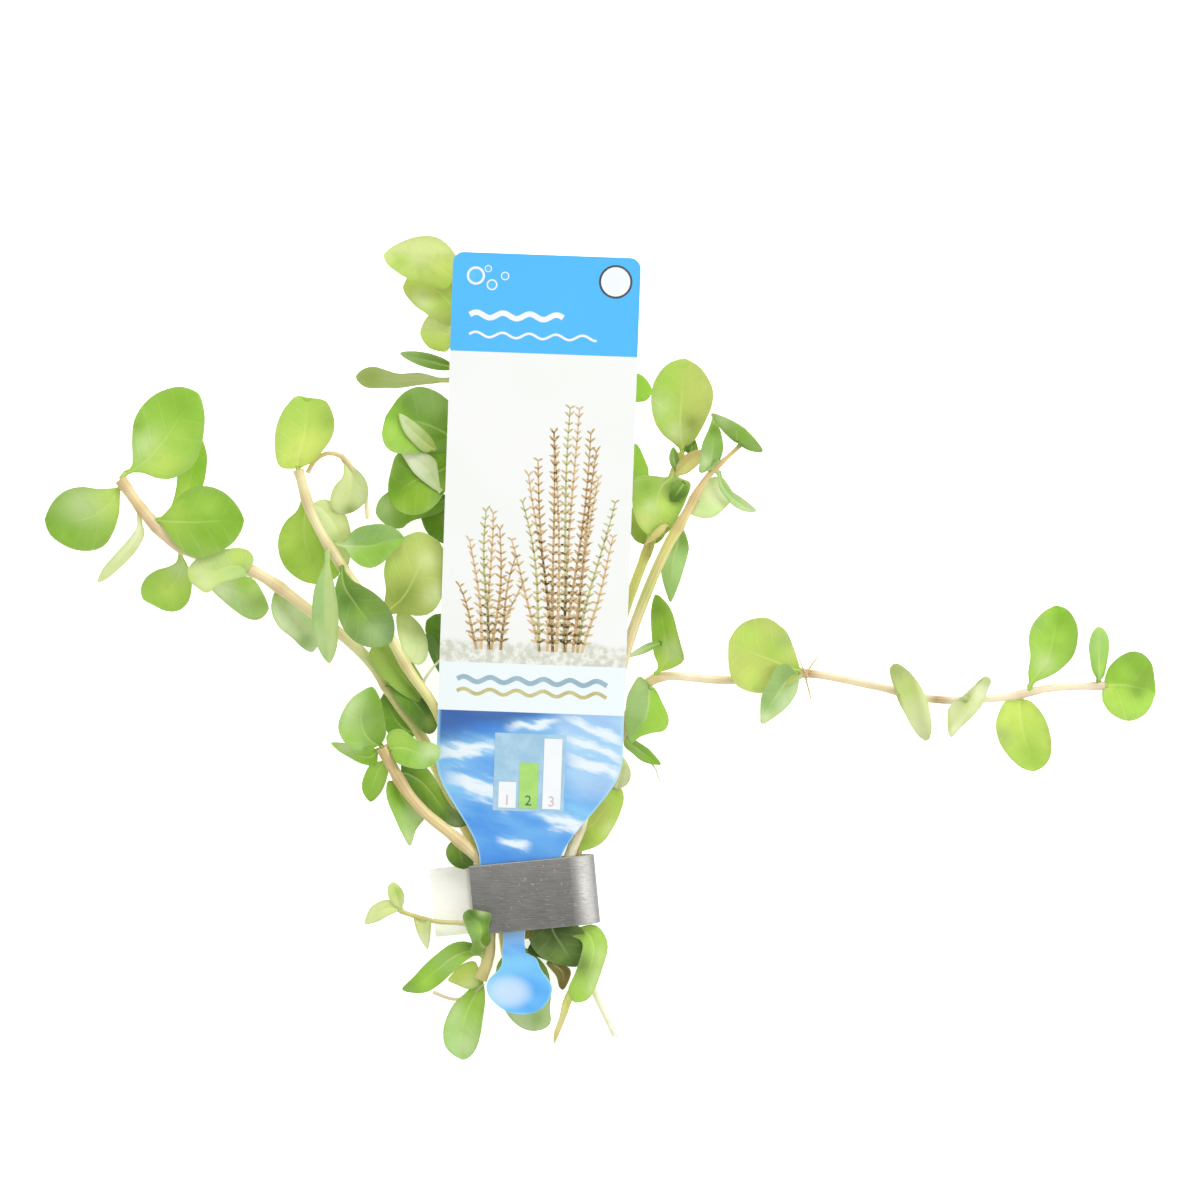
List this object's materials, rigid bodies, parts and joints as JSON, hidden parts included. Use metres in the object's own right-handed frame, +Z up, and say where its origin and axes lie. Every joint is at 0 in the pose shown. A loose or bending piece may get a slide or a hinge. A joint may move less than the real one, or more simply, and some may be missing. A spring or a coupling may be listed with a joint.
{
  "type": "tied bunch of rotala shoots with a stick label",
  "caption": "Cut bunch of round-leaved rotala shoots, tied by a folded soft-metal strip that also holds a plastic stick label; lies flat.",
  "frame": {"origin": "middle of the metal strip's flat underside, which rests on the surface", "axes": "+X along the long trailing shoot, +Y from the strip towards the shoot tips, +Z up from the surface"},
  "size_m": [0.1849, 0.1355, 0.0202],
  "materials": {
    "leaf": "satin",
    "stem": "satin",
    "strip_metal": "satin",
    "label_plastic": "gloss"
  },
  "bodies": {
    "root": {"label": "label_plastic", "leaf_bend_down": "leaf", "leaf_bend_up": "leaf", "leaf_crown_low": "leaf", "leaf_crown_pale": "leaf", "leaf_edge_dark": "leaf", "leaf_edge_folded": "leaf", "leaf_edge_narrow": "leaf", "leaf_far_left_back": "leaf", "leaf_far_left_dark": "leaf", "leaf_far_left_end": "leaf", "leaf_far_left_low": "leaf", "leaf_far_left_pale": "leaf", "leaf_far_left_small": "leaf", "leaf_far_left_top": "leaf", "leaf_foot_bright": "leaf", "leaf_foot_dark": "leaf", "leaf_foot_left": "leaf", "leaf_foot_spoon": "leaf", "leaf_foot_under_paddle": "leaf", "leaf_hidden_left": "leaf", "leaf_hidden_low": "leaf", "leaf_hidden_right": "leaf", "leaf_hidden_top": "leaf", "leaf_left_behind": "leaf", "leaf_left_bright": "leaf", "leaf_left_dark": "leaf", "leaf_left_hanging": "leaf", "leaf_left_inner": "leaf", "leaf_left_notched": "leaf", "leaf_left_olive": "leaf", "leaf_left_pale": "leaf", "leaf_left_two_tone": "leaf", "leaf_left_upright": "leaf", "leaf_low_bright": "leaf", "leaf_right_bright": "leaf", "leaf_right_hanging": "leaf", "leaf_right_pale": "leaf", "leaf_right_top": "leaf", "leaf_short_down": "leaf", "leaf_short_folded": "leaf", "leaf_short_right": "leaf", "leaf_short_top": "leaf", "leaf_trail_down": "leaf", "leaf_trail_edge": "leaf", "leaf_trail_end": "leaf", "leaf_trail_front": "leaf", "leaf_trail_round": "leaf", "leaf_trail_up": "leaf", "metal_strip": "strip_metal", "shoot_arching": "stem", "shoot_low": "stem", "stem_behind_label": "stem", "stem_centre": "stem", "stem_far_left": "stem", "stem_left": "stem", "stem_right": "stem", "stem_right_inner": "stem", "stem_short_left": "stem", "stem_trailing": "stem"}
  },
  "joints": []
}
